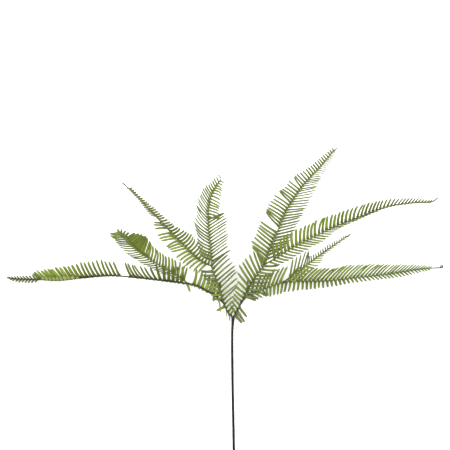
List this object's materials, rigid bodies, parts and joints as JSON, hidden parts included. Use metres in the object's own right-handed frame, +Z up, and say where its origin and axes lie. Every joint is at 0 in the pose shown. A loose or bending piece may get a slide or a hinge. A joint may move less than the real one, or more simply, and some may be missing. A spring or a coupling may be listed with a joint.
{
  "type": "umbrella fern frond",
  "caption": "Cut umbrella fern frond: a thin brown stem that forks into long comb-like green branches, laid flat.",
  "frame": {"origin": "on the surface the frond lies on, under the middle of its bounding box", "axes": "+Z up from the surface towards the viewer, +Y from the cut end of the stem towards the leafy end, +X to the right, across the spread of the branches"},
  "size_m": [0.6092, 0.4834, 0.1043],
  "materials": {
    "stem": "dry satin brown rind",
    "leaf": "leathery satin green, paler below"
  },
  "bodies": {
    "root": {"stipe": "stem", "pinna_left_upright": "leaf", "pinna_left_low": "leaf", "pinna_left_curled": "leaf", "pinna_left_slanting": "leaf", "pinna_right_upright": "leaf", "pinna_right_low": "leaf", "pinna_right_short": "leaf", "pinna_right_arched": "leaf"}
  },
  "joints": []
}
